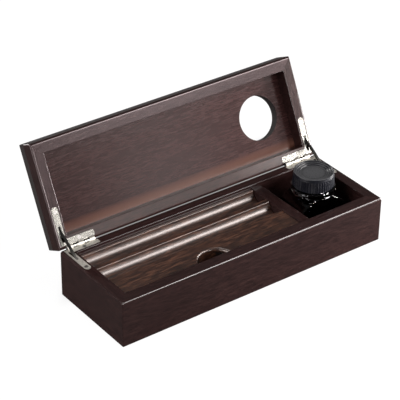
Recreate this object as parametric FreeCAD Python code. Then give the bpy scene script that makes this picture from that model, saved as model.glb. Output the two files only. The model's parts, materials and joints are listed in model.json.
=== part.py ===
import FreeCAD, Part
import math
import os

V = FreeCAD.Vector

# Wooden case with a hinged lid, a lift-out pen tray and a well for an ink bottle.
# Millimetres, +Z up, +X along the length, the origin under the middle of the base.

# Outer sizes and boards
case_length = 260.0
case_depth = 87.0
base_height = 41.3
lid_height = 18.4
front_board_thickness = 10.5
back_board_thickness = 8.5
side_board_thickness = 10.0
lid_front_rail_width = 10.3
lid_back_rail_width = 10.2
lid_side_rail_width = 10.0
lid_top_thickness = 7.3
lid_back_overhang = 1.0
lid_swing_round = 2.6
rim_round = 1.8
edge_round = 0.8
inner_edge_round = 0.5
rim_gap = 0.5

# Floor let into a rebate all round, flush underneath
floor_thickness = 6.0
floor_tongue = 4.0
floor_play = 0.3

# Divider and pen tray
well_width = 55.5
divider_thickness = 10.0
divider_below_rim = 3.7
tray_below_divider = 0.3
tray_thickness = 12.0
tray_gap = 0.5
groove_radius = 8.25
groove_crest = 4.9
groove_back_land = 2.2
groove_edge_round = 0.7
notch_land = 11.7
notch_round = 2.2
tray_rest_width = 6.0

# Hinges, measured from the case's end and from the hinge axis
lid_open_angle = 116.5
axis_behind_back = 0.5
leaf_thickness = 1.2
leaf_play = 0.2
leaf_inset = 2.6
side_arm_width = 5.6
side_arm_reach = 34.2
arm_beyond_barrel = 1.5
back_arm_reach = 7.2
back_arm_round = 1.5
knuckle_radius = 2.0
knuckle_count = 5
knuckle_gap = 0.2
barrel_start = 6.5
barrel_length = 26.0
barrel_room = 0.3
pin_radius = 1.0
pin_play = 0.05

# Stays that stop the lid, bowed away from the hinge axis
stay_offset = 6.3
stay_bow = 1.3
stay_width = 2.4
stay_thickness = 1.6
stay_play = 0.3
stay_pin_radius = 0.8
stay_pin_length = 3.6
stay_tail = 0.9
stay_end_round = 0.85
stop_gap = 0.05

# Countersunk screws
screw_head_radius = 1.7
screw_head_depth = 0.9
screw_shank_radius = 0.9
screw_length = 7.0
screw_play = 0.05
screw_slot_width = 0.5
screw_slot_depth = 0.4
side_screw_from_tip = 4.2
back_screw_inset = 20.0
back_screw_reach = 4.9

# Ink bottle, heights above its own foot
bottle_from_end = 38.6
bottle_from_front = 43.2
bottle_turn = 4.8
bottle_width = 44.0
bottle_depth = 33.0
bottle_edge_round = 2.0
bottle_foot_round = 1.5
glass_wall = 3.0
glass_foot = 4.0
arch_height = 36.5
arch_radius = 28.0
shoulder_round = 5.0
collar_radius = 18.7
collar_foot = 35.8
collar_height = 41.0
collar_bevel = 0.7
neck_radius = 15.0
neck_bore_radius = 12.0
neck_height = 49.0
ink_height = 27.0
ink_play = 0.15

# Screw cap and its liner
liner_radius = 15.7
liner_thickness = 1.0
cap_radius = 17.7
cap_shoulder_radius = 17.2
cap_lip_radius = 16.7
cap_lip_width = 0.8
cap_dish_radius = 10.2
cap_dish_depth = 2.2
cap_ring_count = 3
cap_ring_slope = 0.3
cap_lip_round = 0.35
cap_bore_radius = 15.9
cap_skirt_gap = 1.0
cap_skirt_height = 9.5
cap_height = 12.1
cap_rib_count = 48
cap_rib_depth = 0.45

# Hole in the lid for the cap
hole_radius = 19.3
hole_from_end = 39.6
hole_from_front = 43.2

# Places worked out from the sizes above
left = -case_length / 2
right = case_length / 2
front = -case_depth / 2
back = case_depth / 2
lid_back = back + lid_back_overhang
rim = base_height
lid_rim = rim + rim_gap
lid_crown = lid_rim + lid_height
lid_top_face = lid_crown - lid_top_thickness
axis_y = back + axis_behind_back
axis_z = rim + rim_gap / 2
inner_left = left + side_board_thickness
inner_right = right - side_board_thickness
inner_front = front + front_board_thickness
inner_back = back - back_board_thickness
divider_right = inner_right - well_width
divider_left = divider_right - divider_thickness
divider_top = rim - divider_below_rim
tray_top = divider_top - tray_below_divider
tray_bottom = tray_top - tray_thickness
bottle_x = right - bottle_from_end
bottle_y = front + bottle_from_front
hole_x = right - hole_from_end
hole_y = front + hole_from_front


def block(x0, x1, y0, y1, z0, z1):
    return Part.makeBox(x1 - x0, y1 - y0, z1 - z0, V(x0, y0, z0))


def prism(points, z0, z1):
    corners = [V(x, y, z0) for x, y in points]
    outline = Part.makePolygon(corners + corners[:1])
    return Part.Face(outline).extrude(V(0, 0, z1 - z0))


def rod(radius, start, end):
    return Part.makeCylinder(radius, (end - start).Length, start, end - start)


def join(shapes):
    return shapes[0].multiFuse(shapes[1:]).removeSplitter()


def edges_where(shape, test):
    return [edge for edge in shape.Edges if test(edge.CenterOfMass, edge.BoundBox)]


def mirror_ends(shape):
    return shape.mirror(V(0, 0, 0), V(1, 0, 0))


def mirror_leaf(shape):
    return shape.mirror(V(0, 0, axis_z), V(0, 0, 1))


def swing(shape, angle):
    turned = shape.copy()
    turned.rotate(V(0, axis_y, axis_z), V(-1, 0, 0), angle)
    return turned


def export(name, shape):
    solids = shape.Solids
    kept = solids[0] if len(solids) == 1 else Part.makeCompound(solids)
    kept.exportStep("parts/" + name + ".step")


# Hinge leaf outline: a is measured in from the case's end, b forward from the axis
def hinge_point(a, b, z):
    return V(left + a, axis_y - b, z)


def leaf_plate(grow, above):
    z = rim - leaf_thickness
    near = knuckle_radius + barrel_room - grow
    inner = leaf_inset - grow
    outer = leaf_inset + side_arm_width + grow
    middle = leaf_inset + side_arm_width / 2
    arc_start = side_arm_reach - side_arm_width / 2
    corner = back_arm_round + grow
    end = barrel_start + barrel_length + arm_beyond_barrel + grow
    reach = back_arm_reach + grow
    diagonal = corner * (1 - math.sqrt(0.5))
    runs = [
        Part.LineSegment(hinge_point(inner, arc_start, z), hinge_point(inner, near, z)),
        Part.LineSegment(hinge_point(inner, near, z), hinge_point(end, near, z)),
        Part.LineSegment(hinge_point(end, near, z), hinge_point(end, reach - corner, z)),
        Part.Arc(
            hinge_point(end, reach - corner, z),
            hinge_point(end - diagonal, reach - diagonal, z),
            hinge_point(end - corner, reach, z),
        ),
        Part.LineSegment(hinge_point(end - corner, reach, z), hinge_point(outer, reach, z)),
        Part.LineSegment(hinge_point(outer, reach, z), hinge_point(outer, arc_start, z)),
        Part.Arc(
            hinge_point(outer, arc_start, z),
            hinge_point(middle, side_arm_reach + grow, z),
            hinge_point(inner, arc_start, z),
        ),
    ]
    outline = Part.Wire([run.toShape() for run in runs])
    return Part.Face(outline).extrude(V(0, 0, leaf_thickness + above))


# Stay geometry: it turns half as far as the lid, so it stays square to the halving line
half_angle = math.radians(lid_open_angle / 2)
stop_depth = leaf_thickness + stay_pin_radius + stop_gap + rim_gap / 2
stay_pin_height = (stay_offset * math.sin(half_angle) + stop_depth) / math.cos(half_angle)
stay_half_length = stay_pin_height + stay_tail
stay_line = leaf_inset + side_arm_width / 2
plate_depth = leaf_thickness + rim_gap / 2
crossing = (stay_offset * math.sin(half_angle) + plate_depth) * math.tan(half_angle)
slot_far = (
    stay_offset * math.cos(half_angle)
    + crossing
    + stay_width / 2 / math.cos(half_angle)
    + stay_bow
    + stay_play
)
slot_near = stay_offset - stay_width / 2 - stay_play
slot_width = stay_thickness + 2 * stay_play
pocket_far = (
    stay_offset * math.cos(half_angle)
    + stay_half_length * math.sin(half_angle)
    + stay_width
)
pocket_depth = stay_half_length - rim_gap / 2 + stay_play
pocket_width = stay_pin_length + 2 * stay_play


def slot_block(near, far, width, depth, above):
    a0 = stay_line - width / 2
    low = hinge_point(a0, far, rim - depth)
    return Part.makeBox(width, far - near, depth + above, low)


def screw_places():
    return [(stay_line, side_arm_reach - side_screw_from_tip), (back_screw_inset, back_screw_reach)]


def screw_body(grow, top):
    head = screw_head_radius + grow
    shank = screw_shank_radius + grow
    bottom = -screw_length - grow
    profile = [
        V(0, 0, top),
        V(head, 0, top),
        V(head, 0, 0),
        V(shank, 0, -screw_head_depth - grow),
        V(shank, 0, bottom),
        V(0, 0, bottom),
    ]
    return Part.Face(Part.makePolygon(profile + profile[:1])).revolve(V(0, 0, 0), V(0, 0, 1), 360)


def screws(grow, top):
    placed = []
    for a, b in screw_places():
        one = screw_body(grow, top)
        one.translate(hinge_point(a, b, rim))
        placed.append(one)
    return placed


def knuckle_spans(first):
    pitch = barrel_length / knuckle_count
    for index in range(first, knuckle_count, 2):
        start = barrel_start + index * pitch
        yield start + knuckle_gap / 2, start + pitch - knuckle_gap / 2


def leaf(first_knuckle):
    pieces = [leaf_plate(0, 0)]
    for start, end in knuckle_spans(first_knuckle):
        pieces.append(rod(knuckle_radius, hinge_point(start, 0, axis_z), hinge_point(end, 0, axis_z)))
        web = hinge_point(start, knuckle_radius + barrel_room, rim - leaf_thickness)
        pieces.append(Part.makeBox(end - start, knuckle_radius + barrel_room, leaf_thickness, web))
    bore = rod(
        pin_radius + pin_play,
        hinge_point(0, 0, axis_z),
        hinge_point(barrel_start + barrel_length + side_board_thickness, 0, axis_z),
    )
    slot = slot_block(slot_near, slot_far, slot_width, leaf_thickness, leaf_thickness)
    return join(pieces).cut([bore, slot] + screws(screw_play, leaf_thickness))


# Everything that a hinge takes out of the wood round one corner of the base
def hinge_cut():
    a0 = barrel_start - barrel_room
    a1 = barrel_start + barrel_length + barrel_room
    barrel_way = rod(
        knuckle_radius + barrel_room, hinge_point(a0, 0, axis_z), hinge_point(a1, 0, axis_z)
    )
    web_start = knuckle_radius + barrel_room
    web_way = Part.makeBox(
        a1 - a0,
        lid_back - axis_y + web_start + leaf_play,
        leaf_thickness + rim_gap,
        hinge_point(a0, web_start, rim - leaf_thickness),
    )
    recess = leaf_plate(leaf_play, rim_gap)
    pocket = slot_block(slot_near, pocket_far, pocket_width, pocket_depth, rim_gap)
    return join([barrel_way, web_way, recess, pocket] + screws(screw_play, 0))


def hinge_pin():
    start = hinge_point(barrel_start, 0, axis_z)
    end = hinge_point(barrel_start + barrel_length, 0, axis_z)
    return rod(pin_radius, start, end)


def screw_group():
    group = []
    for screw, (a, b) in zip(screws(0, 0), screw_places()):
        slot = Part.makeBox(
            2 * screw_head_radius,
            screw_slot_width,
            2 * screw_slot_depth,
            hinge_point(a - screw_head_radius, b + screw_slot_width / 2, rim - screw_slot_depth),
        )
        group.append(screw.cut(slot))
    return Part.makeCompound(group)


def stay_strut():
    a0 = stay_line - stay_thickness / 2
    bend = (stay_pin_height ** 2 + stay_bow ** 2) / (2 * stay_bow)
    centre = stay_offset + stay_bow - bend
    start = hinge_point(a0, centre, axis_z)
    end = hinge_point(a0 + stay_thickness, centre, axis_z)
    band = rod(bend + stay_width / 2, start, end).cut(rod(bend - stay_width / 2, start, end))
    low = hinge_point(a0, stay_offset + stay_bow + stay_width, axis_z - stay_half_length)
    span = Part.makeBox(stay_thickness, stay_bow + 2 * stay_width, 2 * stay_half_length, low)
    strut = band.common(span)
    ends = edges_where(
        strut,
        lambda at, box: abs(at.z - axis_z) > stay_pin_height and box.XLength > stay_thickness / 2,
    )
    strut = strut.makeFillet(stay_end_round, ends)
    return strut.cut([stay_pin(side, pin_play) for side in (-1, 1)])


def stay_pin(side, grow):
    height = axis_z + side * stay_pin_height
    start = hinge_point(stay_line - stay_pin_length / 2, stay_offset, height)
    end = hinge_point(stay_line + stay_pin_length / 2, stay_offset, height)
    return rod(stay_pin_radius + grow, start, end)


# Mitred frame: four wedges that meet on the lines from outer to inner corners
def mitre_wedges(opening, far, z0, z1):
    x0, x1 = opening.XMin, opening.XMax
    y0, y1 = opening.YMin, opening.YMax
    return {
        "front": prism([(left, front), (right, front), (x1, y0), (x0, y0)], z0, z1),
        "back": prism([(left, far), (x0, y1), (x1, y1), (right, far)], z0, z1),
        "left": prism([(left, front), (x0, y0), (x0, y1), (left, far)], z0, z1),
        "right": prism([(right, front), (right, far), (x1, y1), (x1, y0)], z0, z1),
    }


# Solid box with its rim's outer edges rounded more than the rest, but square at the hinges
def rounded_outside(far, z0, z1, rim_height):
    outer = block(left, right, front, far, z0, z1)
    rim_edges = edges_where(
        outer,
        lambda at, box: box.ZLength < edge_round
        and abs(at.z - rim_height) < edge_round
        and at.y < far - edge_round,
    )
    outer = outer.makeFillet(rim_round, rim_edges)
    middle = (z0 + z1) / 2
    others = edges_where(
        outer,
        lambda at, box: box.ZLength > (z1 - z0) / 2
        or (abs(at.z - rim_height) > abs(middle - rim_height) and box.ZLength < edge_round),
    )
    return outer.makeFillet(edge_round, others)


def ease_inner_edge(board, opening, rim_height):
    close = inner_edge_round / 10
    inner = edges_where(
        board,
        lambda at, box: abs(at.z - rim_height) < close
        and opening.XMin - close < at.x < opening.XMax + close
        and opening.YMin - close < at.y < opening.YMax + close,
    )
    return board.makeFillet(inner_edge_round, inner)


def mitred_boards(shell, opening, far, z0, z1, rim_height):
    boards = {}
    for side, wedge in mitre_wedges(opening, far, z0, z1).items():
        boards[side] = ease_inner_edge(shell.common(wedge), opening, rim_height)
    return boards


def base_boards():
    opening = block(inner_left, inner_right, inner_front, inner_back, 0, rim)
    rebate = floor_panel(floor_tongue)
    one_hinge = hinge_cut()
    shell = rounded_outside(back, 0, rim, rim)
    shell = shell.cut([opening, rebate, one_hinge, mirror_ends(one_hinge)])
    return mitred_boards(shell, opening.BoundBox, back, 0, rim, rim)


def floor_panel(reach):
    return block(
        inner_left - reach,
        inner_right + reach,
        inner_front - reach,
        inner_back + reach,
        0,
        floor_thickness,
    )


# What is taken off the lid's lower back edge, so that it clears the base as it swings over
def swing_relief():
    y0 = lid_back - lid_swing_round
    y1 = lid_back + lid_swing_round
    z0 = lid_rim - lid_swing_round
    z1 = lid_rim + lid_swing_round
    diagonal = lid_swing_round * math.sqrt(0.5)
    runs = [
        Part.Arc(V(left, y0, lid_rim), V(left, y0 + diagonal, z1 - diagonal), V(left, lid_back, z1)),
        Part.LineSegment(V(left, lid_back, z1), V(left, y1, z1)),
        Part.LineSegment(V(left, y1, z1), V(left, y1, z0)),
        Part.LineSegment(V(left, y1, z0), V(left, y0, z0)),
        Part.LineSegment(V(left, y0, z0), V(left, y0, lid_rim)),
    ]
    outline = Part.Wire([run.toShape() for run in runs])
    return Part.Face(outline).extrude(V(case_length, 0, 0))


def lid_pieces():
    opening = block(
        left + lid_side_rail_width,
        right - lid_side_rail_width,
        front + lid_front_rail_width,
        lid_back - lid_back_rail_width,
        lid_rim,
        lid_top_face,
    )
    hole = Part.makeCylinder(hole_radius, lid_height, V(hole_x, hole_y, lid_rim))
    one_hinge = mirror_leaf(hinge_cut())
    shell = rounded_outside(lid_back, lid_rim, lid_crown, lid_rim).cut(swing_relief())
    shell = shell.cut([opening, hole, one_hinge, mirror_ends(one_hinge)])
    top_slab = block(left, right, front, lid_back, lid_top_face, lid_crown)
    pieces = mitred_boards(shell, opening.BoundBox, lid_back, lid_rim, lid_top_face, lid_rim)
    pieces["top"] = shell.common(top_slab)
    return pieces


# Pen tray: a plank with two half-round flutes and a half-moon finger notch in its front edge
def pen_tray():
    x0 = inner_left + tray_gap
    x1 = divider_left - tray_gap
    y0 = inner_front + tray_gap
    y1 = inner_back - tray_gap
    tray = block(x0, x1, y0, y1, tray_bottom, tray_top)
    pitch = 2 * groove_radius + groove_crest
    back_groove = y1 - groove_back_land - groove_radius
    flutes = []
    for groove_y in (back_groove, back_groove - pitch):
        flutes.append(rod(groove_radius, V(x0, groove_y, tray_top), V(x1, groove_y, tray_top)))
    tray = tray.cut(flutes)
    crests = edges_where(
        tray,
        lambda at, box: abs(at.z - tray_top) < tray_gap / 10
        and box.XLength > (x1 - x0) / 2
        and y0 + tray_gap < at.y < y1 - tray_gap,
    )
    tray = tray.makeFillet(groove_edge_round, crests)
    flute_edge = back_groove - pitch - groove_radius
    notch_radius = flute_edge - notch_land - y0
    notch = Part.makeCylinder(
        notch_radius, tray_thickness, V((x0 + x1) / 2, y0, tray_bottom)
    )
    tray = tray.cut(notch)
    notch_edge = edges_where(
        tray,
        lambda at, box: abs(at.z - tray_top) < tray_gap / 10
        and box.YLength > notch_radius / 2
        and x0 + tray_gap < at.x < x1 - tray_gap,
    )
    return tray.makeFillet(notch_round, notch_edge)


def tray_rest(x0):
    return block(x0, x0 + tray_rest_width, inner_front, inner_back, floor_thickness, tray_bottom)


def divider():
    board = block(divider_left, divider_right, inner_front, inner_back, floor_thickness, divider_top)
    top_edges = edges_where(
        board, lambda at, box: at.z > divider_top - inner_edge_round and box.YLength > divider_thickness
    )
    return board.makeFillet(inner_edge_round, top_edges)


# Bottle: a flat flask with an arched top, drawn as its front outline and run from front to back
def arc_between(centre, radius, start, end):
    spots = [math.radians(angle) for angle in (start, (start + end) / 2, end)]
    return Part.Arc(*[centre + V(radius * math.cos(a), 0, radius * math.sin(a)) for a in spots])


def bottle_outline(inset, foot):
    half = bottle_width / 2 - inset
    bend = shoulder_round - inset
    arch_centre = V(0, 0, arch_height - arch_radius)
    reach = arch_radius - shoulder_round
    out = bottle_width / 2 - shoulder_round
    lean = math.degrees(math.acos(out / reach))
    bend_height = arch_centre.z + math.sqrt(reach ** 2 - out ** 2)
    foot_height = foot + bottle_foot_round
    foot_out = half - bottle_foot_round
    return [
        Part.LineSegment(V(-foot_out, 0, foot), V(foot_out, 0, foot)),
        arc_between(V(foot_out, 0, foot_height), bottle_foot_round, -90, 0),
        Part.LineSegment(V(half, 0, foot_height), V(half, 0, bend_height)),
        arc_between(V(out, 0, bend_height), bend, 0, lean),
        arc_between(arch_centre, arch_radius - inset, lean, 180 - lean),
        arc_between(V(-out, 0, bend_height), bend, 180 - lean, 180),
        Part.LineSegment(V(-half, 0, bend_height), V(-half, 0, foot_height)),
        arc_between(V(-foot_out, 0, foot_height), bottle_foot_round, 180, 270),
    ]


def bottle_form(inset, foot):
    depth = bottle_depth - 2 * inset
    outline = Part.Wire([run.toShape() for run in bottle_outline(inset, foot)])
    form = Part.Face(outline).extrude(V(0, depth, 0))
    return form.translated(V(0, -depth / 2, 0))


def on_bottle(shape):
    turned = shape.copy()
    turned.rotate(V(0, 0, 0), V(0, 0, -1), bottle_turn)
    return turned.translated(V(bottle_x, bottle_y, floor_thickness))


def bottle_cavity():
    bore = Part.makeCylinder(neck_bore_radius, neck_height - ink_height, V(0, 0, ink_height))
    return bottle_form(glass_wall, glass_foot).fuse(bore)


def bottle_glass():
    body = bottle_form(0, 0)
    faces = edges_where(body, lambda at, box: box.YLength < bottle_edge_round)
    body = body.makeFillet(bottle_edge_round, faces)
    neck = Part.makeCylinder(neck_radius, neck_height - ink_height, V(0, 0, ink_height))
    collar = Part.makeCylinder(collar_radius, collar_height - collar_foot, V(0, 0, collar_foot))
    rims = edges_where(collar, lambda at, box: box.ZLength < collar_bevel)
    collar = collar.makeChamfer(collar_bevel, rims)
    return join([body, collar, neck]).cut(bottle_cavity())


def bottle_ink():
    room = bottle_form(glass_wall + ink_play, glass_foot + ink_play)
    level = block(
        -bottle_width, bottle_width, -bottle_width, bottle_width, ink_height, neck_height
    )
    return room.cut(level)


def cap_liner():
    return Part.makeCylinder(liner_radius, liner_thickness, V(0, 0, neck_height))


# Skirt outline: ridges all round, so the grip is a many-pointed star
def ribbed_outline(radius, z):
    points = []
    for index in range(2 * cap_rib_count):
        angle = math.pi * index / cap_rib_count
        reach = radius - cap_rib_depth * (index % 2)
        points.append(V(reach * math.cos(angle), reach * math.sin(angle), z))
    return Part.makePolygon(points + points[:1])


def bottle_cap():
    foot = collar_height + cap_skirt_gap
    shoulder = foot + cap_skirt_height
    lip = foot + cap_height
    ceiling = neck_height + liner_thickness
    skirt = Part.makeLoft(
        [ribbed_outline(cap_radius, foot), ribbed_outline(cap_shoulder_radius, shoulder)], True, True
    )
    profile = [V(0, 0, shoulder), V(cap_shoulder_radius, 0, shoulder), V(cap_lip_radius, 0, lip)]
    ring_start = cap_lip_radius - cap_lip_width
    ring_width = (ring_start - cap_dish_radius) / cap_ring_count
    for ring in range(cap_ring_count):
        reach = ring_start - ring * ring_width
        below = lip - cap_dish_depth * (ring + 1) / cap_ring_count
        profile.append(V(reach, 0, lip - cap_dish_depth * ring / cap_ring_count))
        profile.append(V(reach - cap_ring_slope * ring_width, 0, below))
    profile.append(V(0, 0, below))
    crown = Part.Face(Part.makePolygon(profile + profile[:1])).revolve(V(0, 0, 0), V(0, 0, 1), 360)
    lip_edges = edges_where(
        crown, lambda at, box: box.ZMin > lip - cap_lip_round and box.XLength > cap_lip_radius
    )
    crown = crown.makeFillet(cap_lip_round, lip_edges)
    bore = Part.makeCylinder(cap_bore_radius, ceiling - foot, V(0, 0, foot))
    return skirt.fuse(crown).cut(bore)


os.makedirs("parts", exist_ok=True)

for side, board in base_boards().items():
    export("base_" + side + "_board", board)
export("base_floor", floor_panel(floor_tongue - floor_play))
export("divider", divider())
export("pen_tray", pen_tray())
export("tray_rest_left", tray_rest(inner_left))
export("tray_rest_right", tray_rest(divider_left - tray_rest_width))

for name, piece in lid_pieces().items():
    kind = "" if name == "top" else "_rail"
    export("lid_" + name + kind, swing(piece, lid_open_angle))

base_leaf = leaf(0)
lid_leaf = swing(mirror_leaf(leaf(1)), lid_open_angle)
base_screws = screw_group()
lid_screws = swing(mirror_leaf(screw_group()), lid_open_angle)
strut = swing(stay_strut(), lid_open_angle / 2)
stay_pins = swing(
    Part.makeCompound([stay_pin(side, 0) for side in (-1, 1)]), lid_open_angle / 2
)
hinge_set = {
    "hinge_base_leaf": base_leaf,
    "hinge_lid_leaf": lid_leaf,
    "hinge_pin": hinge_pin(),
    "base_leaf_screws": base_screws,
    "lid_leaf_screws": lid_screws,
    "stay_strut": strut,
    "stay_pins": stay_pins,
}
for name, piece in hinge_set.items():
    export(name + "_left", piece)
    export(name + "_right", mirror_ends(piece))

export("bottle_glass", on_bottle(bottle_glass()))
export("bottle_ink", on_bottle(bottle_ink()))
export("cap_liner", on_bottle(cap_liner()))
export("bottle_cap", on_bottle(bottle_cap()))
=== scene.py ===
import json
from math import cos, pi, radians, sin
import bmesh
import bpy
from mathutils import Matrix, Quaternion, Vector


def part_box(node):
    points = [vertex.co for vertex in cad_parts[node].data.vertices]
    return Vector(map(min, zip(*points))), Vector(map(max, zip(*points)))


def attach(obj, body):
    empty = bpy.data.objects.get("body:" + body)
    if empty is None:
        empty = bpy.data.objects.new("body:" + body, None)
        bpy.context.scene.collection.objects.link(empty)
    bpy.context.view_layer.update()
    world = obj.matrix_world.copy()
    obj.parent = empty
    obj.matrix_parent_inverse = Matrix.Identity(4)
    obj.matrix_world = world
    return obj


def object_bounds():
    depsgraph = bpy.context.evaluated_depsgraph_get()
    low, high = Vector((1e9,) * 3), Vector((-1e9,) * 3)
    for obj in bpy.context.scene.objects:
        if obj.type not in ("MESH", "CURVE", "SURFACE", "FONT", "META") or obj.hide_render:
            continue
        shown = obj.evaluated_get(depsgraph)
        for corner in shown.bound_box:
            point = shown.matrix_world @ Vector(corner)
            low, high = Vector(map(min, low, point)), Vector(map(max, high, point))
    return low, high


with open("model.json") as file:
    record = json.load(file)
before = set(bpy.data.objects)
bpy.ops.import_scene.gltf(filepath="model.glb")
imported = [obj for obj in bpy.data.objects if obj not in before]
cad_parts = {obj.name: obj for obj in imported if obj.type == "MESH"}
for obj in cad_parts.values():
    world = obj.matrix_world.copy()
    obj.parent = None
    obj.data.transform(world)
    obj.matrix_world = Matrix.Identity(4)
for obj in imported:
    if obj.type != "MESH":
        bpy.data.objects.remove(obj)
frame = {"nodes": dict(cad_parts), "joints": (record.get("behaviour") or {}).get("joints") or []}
cadLow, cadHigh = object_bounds()  # the box of the solids alone
nodes = frame["nodes"]
joints = {joint["name"]: joint for joint in frame["joints"]}
scene = bpy.context.scene
print("pen case: frame loaded with", len(nodes), "nodes")

# Small helpers for node trees

noiseSpan = (0.3, 0.7)  # most of a noise texture's values lie between these
white = (1.0, 1.0, 1.0)


def newFinish(name, **sockets):
    finish = bpy.data.materials.new(name)
    finish.use_nodes = True
    shader = finish.node_tree.nodes["Principled BSDF"]
    for socket, value in sockets.items():
        shader.inputs[socket.replace("_", " ")].default_value = value
    return finish.node_tree, shader


def put(tree, kind, settings=None, **sockets):
    node = tree.nodes.new(kind)
    for name, value in (settings or {}).items():
        setattr(node, name, value)
    for name, value in sockets.items():
        node.inputs[name.replace("_", " ")].default_value = value
    return node


def ramp(tree, source, stops):
    node = tree.nodes.new("ShaderNodeValToRGB")
    elements = node.color_ramp.elements
    while len(elements) < len(stops):
        elements.new(1.0)
    for element, (place, colour) in zip(elements, stops):
        element.position = place
        element.color = (*colour, 1.0)
    tree.links.new(source, node.inputs["Fac"])
    return node.outputs["Color"]


def spread(tree, source, low, high, limits=noiseSpan, curve="LINEAR"):
    node = put(tree, "ShaderNodeMapRange", {"interpolation_type": curve},
               From_Min=limits[0], From_Max=limits[1], To_Min=low, To_Max=high)
    tree.links.new(source, node.inputs["Value"])
    return node.outputs["Result"]


def product(tree, first, second):
    node = put(tree, "ShaderNodeMath", {"operation": "MULTIPLY"})
    tree.links.new(first, node.inputs[0])
    tree.links.new(second, node.inputs[1])
    return node.outputs["Value"]


def mixColours(tree, blend, share, first, second):
    node = put(tree, "ShaderNodeMix", {"data_type": "RGBA", "blend_type": blend})
    sockets = (node.inputs[0], node.inputs[6], node.inputs[7])  # the share, then the two colours
    for socket, value in zip(sockets, (share, first, second)):
        if isinstance(value, bpy.types.NodeSocket):
            tree.links.new(value, socket)
        else:
            socket.default_value = value
    return node.outputs[2]


def bumpBy(tree, shader, height, strength, distance):
    node = put(tree, "ShaderNodeBump", Strength=strength, Distance=distance)
    tree.links.new(height, node.inputs["Height"])
    tree.links.new(node.outputs["Normal"], shader.inputs["Normal"])


def axesOf(tree, kind="Object"):
    coords = tree.nodes.new("ShaderNodeTexCoord")
    split = tree.nodes.new("ShaderNodeSeparateXYZ")
    tree.links.new(coords.outputs[kind], split.inputs["Vector"])
    return split.outputs


def objectCoords(tree, size=(1, 1, 1), turn=(0, 0, 0)):
    coords = tree.nodes.new("ShaderNodeTexCoord")
    mapping = put(tree, "ShaderNodeMapping", {"vector_type": "TEXTURE"}, Scale=size, Rotation=turn)
    tree.links.new(coords.outputs["Object"], mapping.inputs["Vector"])
    return mapping.outputs["Vector"]


def noise(tree, vector, scale, detail, roughness, distortion=0.0):
    node = put(tree, "ShaderNodeTexNoise", Scale=scale, Detail=detail, Roughness=roughness,
               Distortion=distortion)
    tree.links.new(vector, node.inputs["Vector"])
    return node.outputs["Fac"]


def dress(finish, *names):
    for name in names:
        nodes[name].material_slots[0].material = bpy.data.materials[finish]


# Stained wood under satin lacquer, with the grain along one axis of each board

woodLook = {
    "deep": (0.0098, 0.0042, 0.0041),
    "middle": (0.0162, 0.0072, 0.0069),
    "pale": (0.0280, 0.0129, 0.0116),
    "stops": (0.30, 0.50, 0.74),  # where the deep, middle and pale tones stand in the grain
    "streak": (0.0100, 0.0011),  # length and width of a grain streak, metres
    "streakNoise": (5, 0.62, 0.35),  # detail, roughness and distortion
    "figure": (0.160, 0.0130),
    "figureNoise": (3, 0.5, 0.8),
    "figureShade": ((0.30, (0.85, 0.84, 0.84)), (0.70, (1.10, 1.09, 1.08))),
    "pore": (0.0050, 0.00060),
    "poreNoise": (2, 0.5, 0.0),
    "poreShade": ((0.34, (0.45, 0.43, 0.43)), (0.48, white)),
    "poreShare": 0.7,
    "rough": (0.17, 0.23),
    "specular": 0.50,
    "tint": (1.0, 1.0, 1.0, 1.0),
    "coat": 0.10,
    "coatRough": 0.12,
    "bump": (0.05, 0.00020),  # strength, and depth in metres
}
trayLook = {
    **woodLook,
    "deep": (0.0060, 0.0020, 0.0012),
    "middle": (0.0210, 0.0072, 0.0038),
    "pale": (0.0800, 0.0310, 0.0150),
    "stops": (0.39, 0.50, 0.62),
    "streak": (0.0120, 0.0009),
    "rough": (0.30, 0.41),
    "specular": 1.0,
    "tint": (1.0, 0.90, 0.86, 1.0),
}
panelLook = {
    **woodLook,
    "deep": (0.0200, 0.0083, 0.0080),
    "middle": (0.0250, 0.0105, 0.0100),
    "pale": (0.0300, 0.0127, 0.0120),
    "stops": (0.38, 0.50, 0.63),
    "rough": (0.13, 0.17),
    "coat": 0.0,
}
railLook = {**woodLook, "rough": (0.19, 0.25), "tint": (0.92, 0.80, 0.82, 1.0)}
rightRailLook = {**woodLook, "rough": (0.17, 0.22), "specular": 0.40, "coat": 0.0}
# The hinge-side rail is painted lighter and warmer than the other rails, as painted warm light, with a
# duller finish
backRailPaintedLightLook = {
    **woodLook,
    "middle": (0.0220, 0.0086, 0.0070),
    "pale": (0.0400, 0.0160, 0.0120),
    "rough": (0.38, 0.46),
    "specular": 0.25,
    "coat": 0.0,
}
level = (0, 0, 0)
lidAngle = radians(joints["lid_hinge"]["range_deg"][0])
lidTurn = (lidAngle, 0, 0)  # boards of the lid stand open, so their grain is turned with it


def grain(tree, axis, turn, size, settings):
    long, wide = size
    scale = [wide, wide, wide]
    scale["XYZ".index(axis)] = long
    return noise(tree, objectCoords(tree, scale, turn), 1, *settings)


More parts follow.
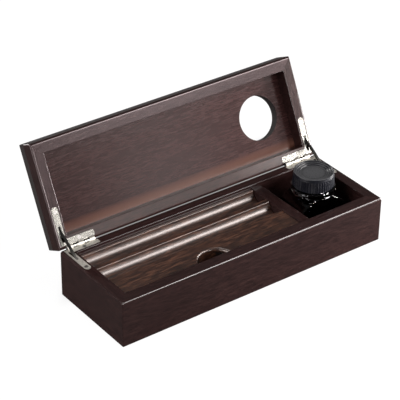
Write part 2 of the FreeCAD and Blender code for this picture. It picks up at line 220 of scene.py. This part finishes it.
def woodFinish(name, axis, turn=level, look=woodLook, paintedGlowAndShade=None, notchShade=None):
    tree, shader = newFinish(name, Specular_IOR_Level=look["specular"], Specular_Tint=look["tint"],
                             Coat_Weight=look["coat"], Coat_Roughness=look["coatRough"])
    streaks = grain(tree, axis, turn, look["streak"], look["streakNoise"])
    figure = grain(tree, axis, turn, look["figure"], look["figureNoise"])
    pores = grain(tree, axis, turn, look["pore"], look["poreNoise"])
    tones = (look["deep"], look["middle"], look["pale"])
    colour = ramp(tree, streaks, list(zip(look["stops"], tones)))
    colour = mixColours(tree, "MULTIPLY", 1.0, colour, ramp(tree, figure, look["figureShade"]))
    poreShade = ramp(tree, pores, look["poreShade"])
    colour = mixColours(tree, "MULTIPLY", look["poreShare"], colour, poreShade)
    rough = spread(tree, streaks, *look["rough"])
    # painted warm glow at the panel's foot, then dark dull edges with painted shade in its hole
    if paintedGlowAndShade:
        colour = paintedWarmFoot(tree, colour, paintedGlowAndShade)
        colour, rough = dullEdgesAndPaintedShade(tree, colour, rough, paintedGlowAndShade)
    # painted shade inside the tray's finger notch
    if notchShade:
        colour = paintedNotchShade(tree, colour, notchShade)
    tree.links.new(colour, shader.inputs["Base Color"])
    tree.links.new(rough, shader.inputs["Roughness"])
    bumpBy(tree, shader, pores, *look["bump"])


def facingShare(tree, face):
    coords = tree.nodes.new("ShaderNodeTexCoord")
    facing = put(tree, "ShaderNodeVectorMath", {"operation": "DOT_PRODUCT"})
    facing.inputs[1].default_value = face
    tree.links.new(coords.outputs["Normal"], facing.inputs[0])
    return facing.outputs["Value"]


# Painted light: a warm glow painted on the lid panel's inner face near its foot, where light bounced off
# the back rail falls
def paintedWarmFoot(tree, colour, paintedGlowAndShade):
    limits = [panelLow + up for up in paintedGlowAndShade["fade"]]
    height = spread(tree, axesOf(tree)["Z"], paintedGlowAndShade["share"], 0.0, limits)
    inside = spread(tree, facingShare(tree, paintedGlowAndShade["face"]), 0.0, 1.0, paintedGlowAndShade["faceMask"])
    return mixColours(tree, "MIX", product(tree, height, inside), colour, (*paintedGlowAndShade["colour"], 1.0))


# Darker and rougher on faces across the panel: dull end grain, whose dark colour is also painted shade in
# the lid's hole
def dullEdgesAndPaintedShade(tree, colour, rough, paintedGlowAndShade):
    turned = put(tree, "ShaderNodeMath", {"operation": "ABSOLUTE"})
    tree.links.new(facingShare(tree, paintedGlowAndShade["face"]), turned.inputs[0])
    edge = spread(tree, turned.outputs["Value"], 1.0, 0.0, paintedGlowAndShade["edgeMask"])
    colour = mixColours(tree, "MIX", edge, colour, (*paintedGlowAndShade["edge"], 1.0))
    blend = put(tree, "ShaderNodeMix", {"data_type": "FLOAT"})
    tree.links.new(edge, blend.inputs[0])
    tree.links.new(rough, blend.inputs[2])
    blend.inputs[3].default_value = paintedGlowAndShade["edgeRough"]
    return colour, blend.outputs[0]


# Painted shade: near black inside the tray's finger notch, where shade falls
def paintedNotchShade(tree, colour, notchShade):
    axes = axesOf(tree)
    back = spread(tree, axes["Y"], notchShade["share"], 0.0, [trayLow.y + reach for reach in notchShade["reach"]])
    under = spread(tree, axes["Z"], 1.0, 0.0, [trayHigh.z - depth for depth in notchShade["depth"]])
    return mixColours(tree, "MIX", product(tree, back, under), colour, (*notchShade["colour"], 1.0))


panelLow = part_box("lid_top")[0].z
# Painted light on the lid panel: a warm glow at its foot, and dark edges that are partly end grain, partly
# painted shade in the hole
panelPaintedGlowAndShade = {
    # colour of the painted warm glow
    "colour": (0.125, 0.055, 0.038),
    "share": 0.95,
    "fade": (0.0118, 0.0205),  # heights above the panel's lowest point where the painted warm glow at its foot fades
    "face": (0.0, sin(lidAngle), -cos(lidAngle)),  # the inner face, with the lid open
    "faceMask": (0.80, 0.95),
    "edge": (0.0060, 0.0030, 0.0028),  # end grain, dark and dull; the dark colour is also painted shade in the lid's hole
    "edgeMask": (0.10, 0.40),
    "edgeRough": 0.95,
}
trayLow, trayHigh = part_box("pen_tray")
trayNotchPaintedShade = {  # painted shade: near black inside the finger notch and along the tray's front below its top
    "colour": (0.0012, 0.0008, 0.0007),
    "share": 1.0,
    "reach": (0.0125, 0.0130),  # back from the tray's front edge
    "depth": (0.0036, 0.0020),  # down from its top
}

woodFinish("boardAlong", "X")
woodFinish("boardAcross", "Y")
woodFinish("lidAlong", "X", lidTurn, railLook)
woodFinish("lidAcross", "Y", lidTurn, railLook)
woodFinish("lidRightRail", "Y", lidTurn, rightRailLook)
woodFinish("lidBackRail", "X", lidTurn, backRailPaintedLightLook)
woodFinish("lidPanel", "X", lidTurn, panelLook, paintedGlowAndShade=panelPaintedGlowAndShade)
woodFinish("trayWood", "X", look=trayLook, notchShade=trayNotchPaintedShade)
dress("boardAlong", "base_front_board", "base_back_board", "base_floor")
dress("boardAcross", "base_left_board", "base_right_board", "divider")
dress("boardAcross", "tray_rest_left", "tray_rest_right")
dress("lidAlong", "lid_front_rail")
dress("lidAcross", "lid_left_rail")
dress("lidRightRail", "lid_right_rail")
dress("lidBackRail", "lid_back_rail")
dress("lidPanel", "lid_top")
dress("trayWood", "pen_tray")
print("pen case: wood dressed")

# Plated hinges, wire pins and slotted screws

metalLook = {
    "nickelPlate": {
        "colour": (0.43, 0.418, 0.382),
        "rough": (0.20, 0.27),
        "mark": (0.0012, 0.00060, 0.00060),  # size of a mark in the metal, metres
    },
    "nickelWorn": {
        "colour": (0.60, 0.58, 0.53),
        "rough": (0.46, 0.60),
        "mark": (0.0012, 0.00060, 0.00060),
    },
    "stayDark": {
        "colour": (0.090, 0.086, 0.082),
        "rough": (0.26, 0.38),
        "mark": (0.012, 0.00030, 0.00030),
    },
    "pinSteel": {
        "colour": (0.60, 0.59, 0.57),
        "rough": (0.22, 0.34),
        "mark": (0.012, 0.00022, 0.00022),
    },
    "screwSteel": {
        "colour": (0.28, 0.27, 0.26),
        "rough": (0.30, 0.44),
        "mark": (0.00060, 0.00022, 0.00030),
    },
}
metalWear = {"dark": 0.55, "stops": (0.30, 0.55), "noise": (3, 0.6), "bump": (0.012, 0.0001)}


def metalFinish(name, look, wear):
    tree, shader = newFinish(name, Metallic=1.0)
    marks = noise(tree, objectCoords(tree, look["mark"]), 1, *wear["noise"])
    dark = tuple(wear["dark"] * part for part in look["colour"])
    colour = ramp(tree, marks, list(zip(wear["stops"], (dark, look["colour"]))))
    tree.links.new(colour, shader.inputs["Base Color"])
    tree.links.new(spread(tree, marks, *look["rough"]), shader.inputs["Roughness"])
    bumpBy(tree, shader, marks, *wear["bump"])


for finish, look in metalLook.items():
    metalFinish(finish, look, metalWear)
for side in ("left", "right"):
    dress("nickelPlate", "hinge_lid_leaf_" + side)
    dress("nickelWorn", "hinge_base_leaf_" + side)
    dress("stayDark", "stay_strut_" + side)
    dress("pinSteel", "hinge_pin_" + side, "stay_pins_" + side)
    dress("screwSteel", "base_leaf_screws_" + side, "lid_leaf_screws_" + side)
print("pen case: metal dressed")

# Ink bottle

glassLook = {
    "tint": (0.17, 0.175, 0.19),
    "clear": (0.93, 0.96, 0.97),
    "inked": (0.012, 0.006),  # below the mouth, where the clinging ink thins out
    "ior": 1.51,
    "ripple": 0.012,
    "rippleNoise": (2, 0.5),
    "rough": (0.0, 0.03),
    "bump": (0.04, 0.0006),
}
inkLook = {
    "deep": (0.0015, 0.0016, 0.0030),
    "edge": (0.0040, 0.0040, 0.0080),
    "clouds": (90, 2, 0.5),  # scale, detail and roughness
    "rough": (0.05, 0.12),
}
capLook = {
    "deep": (0.0032, 0.0035, 0.0055),
    "pale": (0.0062, 0.0066, 0.0098),
    "clouds": (160, 2, 0.5),
    # painted light: the cap's upward faces are given this lighter colour
    "top": (0.052, 0.053, 0.056),
    "paintedTopLightMask": (0.75, 0.95),
    "rough": (0.24, 0.34),
    "grain": 0.0004,
    "grainNoise": (3, 0.6),
    "specular": 0.24,
    "rings": (0.0102, 0.0121, 0.0140, 0.0159),  # edges of the dish's steps
    "ringWidth": 0.0005,
    "stepShadeAndHighlight": (0.95, 0.30, 1.30),  # before, in and after each edge: painted shade in the edge, a painted highlight just outside it
    "reach": 0.018,
    "flatten": 1e6,  # takes the height out, so that only the distance from the axis counts
    "bump": (0.10, 0.0001),
}
linerLook = {
    "deep": (0.62, 0.62, 0.58),
    "pale": (0.82, 0.82, 0.79),
    "stops": (0.35, 0.60),
    "cell": 0.0006,
    "cellNoise": (2, 0.6),
    "rough": 0.85,
    "bump": (0.4, 0.0002),
}
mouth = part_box("bottle_glass")[1].z
capAxis = Vector(joints["cap_turn"]["pos_m"])


def glassFinish(look):
    tree, shader = newFinish("inkGlass", IOR=look["ior"], Transmission_Weight=1.0)
    waves = noise(tree, objectCoords(tree), 1 / look["ripple"], *look["rippleNoise"])
    dry = spread(tree, axesOf(tree)["Z"], 0.0, 1.0, [mouth - below for below in look["inked"]])
    tint = mixColours(tree, "MIX", dry, (*look["tint"], 1.0), (*look["clear"], 1.0))
    tree.links.new(tint, shader.inputs["Base Color"])
    tree.links.new(spread(tree, waves, *look["rough"]), shader.inputs["Roughness"])
    bumpBy(tree, shader, waves, *look["bump"])


def inkFinish(look):
    tree, shader = newFinish("blackInk")
    clouds = noise(tree, objectCoords(tree), *look["clouds"])
    colour = ramp(tree, clouds, list(zip(noiseSpan, (look["deep"], look["edge"]))))
    tree.links.new(colour, shader.inputs["Base Color"])
    tree.links.new(spread(tree, clouds, *look["rough"]), shader.inputs["Roughness"])


# Painted shade in each step edge of the cap's dish, with a painted highlight just outside it
def paintedStepRings(tree, look):
    coords = tree.nodes.new("ShaderNodeTexCoord")
    flat = put(tree, "ShaderNodeMapping", {"vector_type": "TEXTURE"}, Location=(capAxis.x, capAxis.y, 0.0),
               Scale=(look["reach"], look["reach"], look["flatten"]))
    away = put(tree, "ShaderNodeVectorMath", {"operation": "LENGTH"})
    tree.links.new(coords.outputs["Object"], flat.inputs["Vector"])
    tree.links.new(flat.outputs["Vector"], away.inputs[0])
    width = look["ringWidth"]
    stops = [(0.0, white)]
    for radius in look["rings"]:
        places = (radius - width - width, radius - width, radius + width)
        for place, tone in zip(places, look["stepShadeAndHighlight"]):
            stops.append((place / look["reach"], (tone, tone, tone)))
    return ramp(tree, away.outputs["Value"], stops)


def capFinish(look):
    tree, shader = newFinish("capPlastic", Specular_IOR_Level=look["specular"])
    fine = noise(tree, objectCoords(tree), 1 / look["grain"], *look["grainNoise"])
    clouds = noise(tree, objectCoords(tree), *look["clouds"])
    skirt = ramp(tree, clouds, list(zip(noiseSpan, (look["deep"], look["pale"]))))
    top = mixColours(tree, "MULTIPLY", 1.0, (*look["top"], 1.0), paintedStepRings(tree, look))
    share = spread(tree, axesOf(tree, "Normal")["Z"], 0.0, 1.0, look["paintedTopLightMask"])  # painted light: upward faces take the lighter top colour
    tree.links.new(mixColours(tree, "MIX", share, skirt, top), shader.inputs["Base Color"])
    tree.links.new(spread(tree, fine, *look["rough"]), shader.inputs["Roughness"])
    bumpBy(tree, shader, fine, *look["bump"])


def linerFinish(look):
    tree, shader = newFinish("linerFoam", Roughness=look["rough"])
    cells = noise(tree, objectCoords(tree), 1 / look["cell"], *look["cellNoise"])
    colour = ramp(tree, cells, list(zip(look["stops"], (look["deep"], look["pale"]))))
    tree.links.new(colour, shader.inputs["Base Color"])
    bumpBy(tree, shader, cells, *look["bump"])


glassFinish(glassLook)
inkFinish(inkLook)
capFinish(capLook)
linerFinish(linerLook)
dress("inkGlass", "bottle_glass")
dress("blackInk", "bottle_ink")
dress("capPlastic", "bottle_cap")
dress("linerFoam", "cap_liner")

neckThread = {
    "radius": 0.0150,  # of the neck that carries it
    "height": 0.0006,
    "foot": 0.0019,
    "crest": 0.0007,
    "sunk": 0.0003,  # how far its foot goes into the neck
    "pitch": 0.0032,
    "turns": 1.5,
    "below": 0.0016,  # from the mouth to its upper end
    "steps": 96,
    "fade": 0.16,  # share of the length over which an end tapers out
}


def threadRing(mesh, look, share):
    fade = min(1.0, share / look["fade"], (1.0 - share) / look["fade"])
    rise = look["height"] * fade * fade * (3.0 - 2.0 * fade)  # eases in and out at the ends
    angle = 2.0 * pi * look["turns"] * share
    height = mouth - look["below"] - look["pitch"] * look["turns"] * share
    foot = look["radius"] - look["sunk"]
    crest = look["radius"] + rise
    section = (
        (foot, look["foot"]),
        (crest, look["crest"]),
        (crest, -look["crest"]),
        (foot, -look["foot"]),
    )
    ring = []
    for radius, up in section:
        x = capAxis.x + radius * cos(angle)
        y = capAxis.y + radius * sin(angle)
        ring.append(mesh.verts.new((x, y, height + up / 2)))
    return ring


def makeNeckThread(look):
    mesh = bmesh.new()
    rings = [threadRing(mesh, look, step / look["steps"]) for step in range(look["steps"] + 1)]
    for first, second in zip(rings, rings[1:]):
        for i in range(len(first)):
            j = (i + 1) % len(first)
            mesh.faces.new((first[i], first[j], second[j], second[i]))
    mesh.faces.new(reversed(rings[0]))
    mesh.faces.new(rings[-1])
    bmesh.ops.recalc_face_normals(mesh, faces=mesh.faces)
    data = bpy.data.meshes.new("neckThread")
    mesh.to_mesh(data)
    mesh.free()
    data.materials.append(bpy.data.materials["inkGlass"])
    data.shade_smooth()
    thread = bpy.data.objects.new("neckThread", data)
    scene.collection.objects.link(thread)
    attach(thread, "bottle")


makeNeckThread(neckThread)
print("pen case: ink bottle dressed")

# Studio: pale floor, soft lights, camera

floorLook = {
    "size": 12.0,
    "colour": (0.075, 0.075, 0.075, 1.0),
    "rough": 0.9,
    "glow": 0.93,
    "drop": 0.0002,  # below the case's feet
    "paintedShadowGlow": 0.24,  # painted shadow: the glow in a fixed soft patch on the floor behind the case
    "shadeSlant": -0.75,
    "shadeLeft": (-0.170, -0.125),
    "shadeRight": (0.060, 0.098),
    "shadeBack": (0.100, 0.165),
    "shadeFront": (0.025, 0.045),
}
skyLook = {"colour": (1.0, 0.985, 0.98, 1.0), "strength": 0.08}
lightColour = (1.0, 0.97, 0.96)
lightSetup = {  # at gives azimuth and elevation in degrees and the distance, size gives width and height
    "keyBox": {"at": (40, 33, 2.5), "size": (0.84, 0.80), "radiance": 22.0, "roll": -14},
    "keyLow": {"at": (36, 25, 2.5), "size": (0.50, 0.20), "radiance": 13.0},
    "rightBox": {"at": (64, 22, 2.5), "size": (0.58, 0.42), "radiance": 26.0},
    "sheenBox": {"at": (31.3, 13, 2.5), "size": (0.24, 0.45), "radiance": 1.4},
    "edgeStrip": {"at": (5, 16, 2.5), "size": (0.58, 0.50), "radiance": 40.0},
    "frontLeft": {"at": (35, 4, 0.50), "size": (0.14, 0.10), "radiance": 12.0},
    "frontMid": {"at": (62, 3, 0.45), "size": (0.14, 0.12), "radiance": 28.0},
    "frontRight": {"at": (75, 6, 0.40), "size": (0.14, 0.12), "radiance": 85.0},
    "topBack": {"at": (180, 70, 2.0), "size": (0.80, 0.80), "radiance": 5.0},
    "leftFill": {"at": (-92, 20, 1.5), "size": (1.50, 0.90), "radiance": 7.8},
    "backFill": {"at": (190, 12, 1.5), "size": (1.00, 0.50), "radiance": 10.0},
}
cameraSetup = {
    "at": (-36.77, 31.96, 1.425),
    "roll": 0.68,
    "target": (0.0014, 0.0363, 0.0451),
    "lens": 156.2,
    "sensor": 36.0,
}


def towards(azimuth, elevation):
    a, e = radians(azimuth), radians(elevation)
    return Vector((sin(a) * cos(e), -cos(a) * cos(e), sin(e)))


def aim(thing, setup, target):
    azimuth, elevation, distance = setup["at"]
    out = towards(azimuth, elevation)
    roll = Quaternion((0, 0, 1), radians(setup.get("roll", 0)))
    thing.location = Vector(target) + out * distance
    thing.rotation_mode = "QUATERNION"
    thing.rotation_quaternion = out.to_track_quat("Z", "Y") @ roll
    scene.collection.objects.link(thing)


# Painted shadow: the floor's glow drops in a fixed soft patch behind the case, which stays put whatever
# the lid does
def floorGlowWithPaintedShadow(tree, look):
    axes = axesOf(tree)
    slant = put(tree, "ShaderNodeMath", {"operation": "MULTIPLY_ADD"})
    slant.inputs[1].default_value = look["shadeSlant"]
    tree.links.new(axes["Y"], slant.inputs[0])
    tree.links.new(axes["X"], slant.inputs[2])
    across = slant.outputs["Value"]
    share = spread(tree, across, 0.0, 1.0, look["shadeLeft"], "SMOOTHSTEP")
    for edge in (
        spread(tree, across, 1.0, 0.0, look["shadeRight"], "SMOOTHSTEP"),
        spread(tree, axes["Y"], 1.0, 0.0, look["shadeBack"], "SMOOTHSTEP"),
        spread(tree, axes["Y"], 0.0, 1.0, look["shadeFront"], "SMOOTHSTEP"),
    ):
        share = product(tree, share, edge)
    return spread(tree, share, look["glow"], look["paintedShadowGlow"], (0.0, 1.0))


def makeFloor(look):
    half = look["size"] / 2
    data = bpy.data.meshes.new("floor")
    corners = [(-half, -half, 0), (half, -half, 0), (half, half, 0), (-half, half, 0)]
    data.from_pydata(corners, [], [(0, 1, 2, 3)])
    floor = bpy.data.objects.new("floor", data)
    floor.location.z = cadLow.z - look["drop"]
    scene.collection.objects.link(floor)
    tree, shader = newFinish("paleFloor", Base_Color=look["colour"], Roughness=look["rough"],
                             Specular_IOR_Level=0.0)
    sheet = tree.nodes.new("ShaderNodeEmission")
    both = tree.nodes.new("ShaderNodeAddShader")  # lit from below like a light table, but only to the eye
    rays = tree.nodes.new("ShaderNodeLightPath")
    choice = tree.nodes.new("ShaderNodeMixShader")
    tree.links.new(floorGlowWithPaintedShadow(tree, look), sheet.inputs["Strength"])
    tree.links.new(shader.outputs["BSDF"], both.inputs[0])
    tree.links.new(sheet.outputs["Emission"], both.inputs[1])
    tree.links.new(rays.outputs["Is Camera Ray"], choice.inputs["Fac"])
    tree.links.new(shader.outputs["BSDF"], choice.inputs[1])
    tree.links.new(both.outputs["Shader"], choice.inputs[2])
    tree.links.new(choice.outputs["Shader"], tree.nodes["Material Output"].inputs["Surface"])
    data.materials.append(bpy.data.materials["paleFloor"])


def makeSky(look):
    scene.world = bpy.data.worlds.new("studio")
    scene.world.use_nodes = True
    back = scene.world.node_tree.nodes["Background"]
    back.inputs["Color"].default_value = look["colour"]
    back.inputs["Strength"].default_value = look["strength"]


def makeLight(name, setup):
    width, height = setup["size"]
    lamp = bpy.data.lights.new(name, "AREA")
    lamp.shape = "RECTANGLE"
    lamp.size = width
    lamp.size_y = height
    lamp.color = lightColour
    lamp.energy = setup["radiance"] * pi * width * height
    light = bpy.data.objects.new(name, lamp)
    light.visible_camera = False
    aim(light, setup, (0, 0, 0))


def makeCamera(setup):
    lens = bpy.data.cameras.new("camera")
    lens.lens = setup["lens"]
    lens.sensor_width = setup["sensor"]
    camera = bpy.data.objects.new("camera", lens)
    aim(camera, setup, setup["target"])
    scene.camera = camera


makeFloor(floorLook)
makeSky(skyLook)
for name, setup in lightSetup.items():
    makeLight(name, setup)
makeCamera(cameraSetup)
scene.view_settings.view_transform = "Standard"
print("pen case: studio set")
